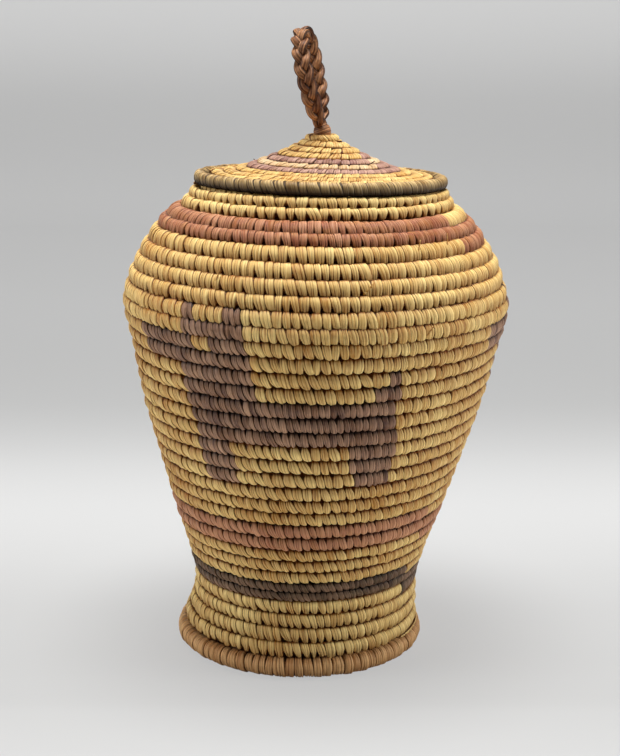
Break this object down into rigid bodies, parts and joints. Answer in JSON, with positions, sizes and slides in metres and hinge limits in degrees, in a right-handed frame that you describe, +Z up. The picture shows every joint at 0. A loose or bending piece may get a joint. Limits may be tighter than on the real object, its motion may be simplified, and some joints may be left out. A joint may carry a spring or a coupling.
{
  "type": "lidded coiled basket",
  "caption": "Coiled sweetgrass basket, wide at the shoulder and narrow at the foot, with stepped animal figures, a lift-off lid and a plaited finger loop.",
  "frame": {"origin": "on the floor, below the middle of the belly", "axes": "+Z up, -Y towards the side with the animal figure that faces the viewer, +X to its right"},
  "size_m": [0.231, 0.2311, 0.3782],
  "materials": {
    "straw": "matte",
    "cream": "matte",
    "rose": "matte",
    "plum": "matte",
    "mauve": "matte",
    "brown": "matte",
    "olive": "matte",
    "foot_tan": "matte",
    "reed_brown": "matte"
  },
  "bodies": {
    "basket": {"base_start_knot": "straw", "base_coil": "straw", "foot_roll": "foot_tan", "foot_coil": "straw", "brown_band_coil": "brown", "lower_wall_coil": "straw", "lower_rose_band_coil": "rose", "middle_wall_coil": "straw", "figure_legs_coil": "plum", "figure_body_coil": "plum", "figure_head_coil": "plum", "upper_wall_coil": "straw", "shoulder_rose_band_coil": "rose", "neck_coil": "straw", "lid_seat_coil": "straw"},
    "lid": {"lid_rim_roll": "olive", "lid_outer_coil": "straw", "lid_outer_mauve_coil": "mauve", "lid_pale_coil": "cream", "lid_inner_mauve_coil": "mauve", "lid_crown_coil": "straw", "lid_eye_ring": "straw"},
    "handle": {"handle_knot": "reed_brown", "handle_strand_1": "reed_brown", "handle_strand_2": "reed_brown", "handle_strand_3": "reed_brown"}
  },
  "joints": [
    {"name": "lid_lift", "type": "slide", "parent": "basket", "child": "lid", "axis": [0, 0, 1], "range_m": [0, 0.15]},
    {"name": "handle_lean", "type": "hinge", "parent": "lid", "child": "handle", "pos_m": [0.00369, 0, 0.31784], "axis": [0.225, 0.9744, 0], "range_deg": [-50, 74]}
  ]
}
